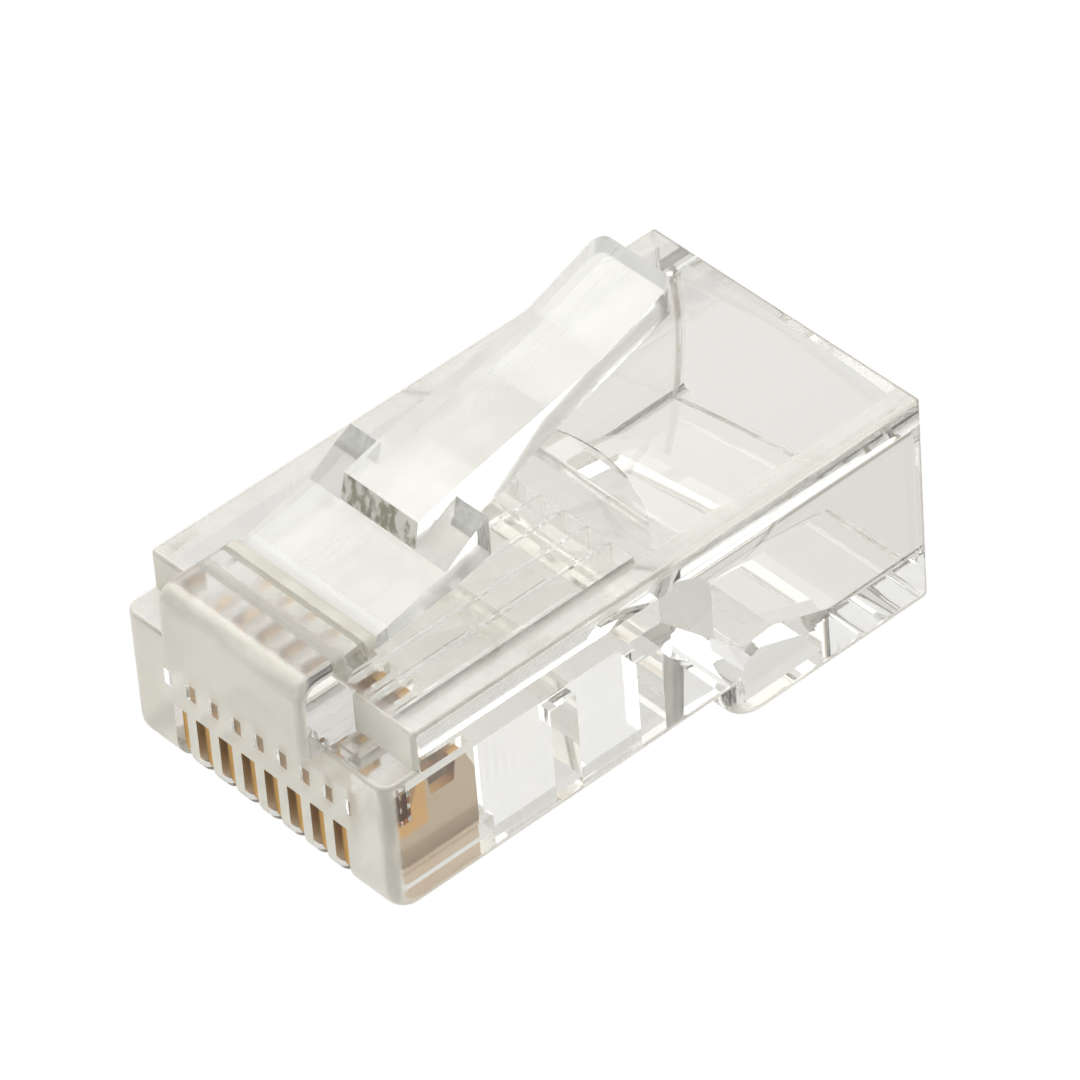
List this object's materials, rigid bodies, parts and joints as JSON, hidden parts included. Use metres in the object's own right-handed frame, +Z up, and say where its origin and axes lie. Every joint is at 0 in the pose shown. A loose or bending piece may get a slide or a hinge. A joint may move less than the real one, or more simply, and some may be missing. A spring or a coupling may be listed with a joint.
{
  "type": "rj45 modular plug",
  "caption": "Clear moulded modular plug for network cable with flat gold-plated contact blades, a sprung finger latch and an open rear cable entry.",
  "frame": {"origin": "centre of the plug's width and length at the height of its lowest face, the underside of the rear section", "axes": "+X across the plug, +Y from the nose to the cable end, +Z up, towards the latch side"},
  "size_m": [0.0116, 0.0224, 0.0139],
  "materials": {
    "clear_moulding": "clear, glossy",
    "gold_contact": "gold plated, polished"
  },
  "bodies": {
    "plug": {"housing": "clear_moulding", "contact_1": "gold_contact", "contact_2": "gold_contact", "contact_3": "gold_contact", "contact_4": "gold_contact", "contact_5": "gold_contact", "contact_6": "gold_contact", "contact_7": "gold_contact", "contact_8": "gold_contact"},
    "latch_body": {"latch": "clear_moulding"}
  },
  "joints": [
    {"name": "latch_press", "type": "hinge", "parent": "plug", "child": "latch_body", "pos_m": [0, -0.00796, 0.00924], "axis": [1, 0, 0], "range_deg": [-15, 0], "stiffness_Nm_per_rad": 0.25}
  ]
}
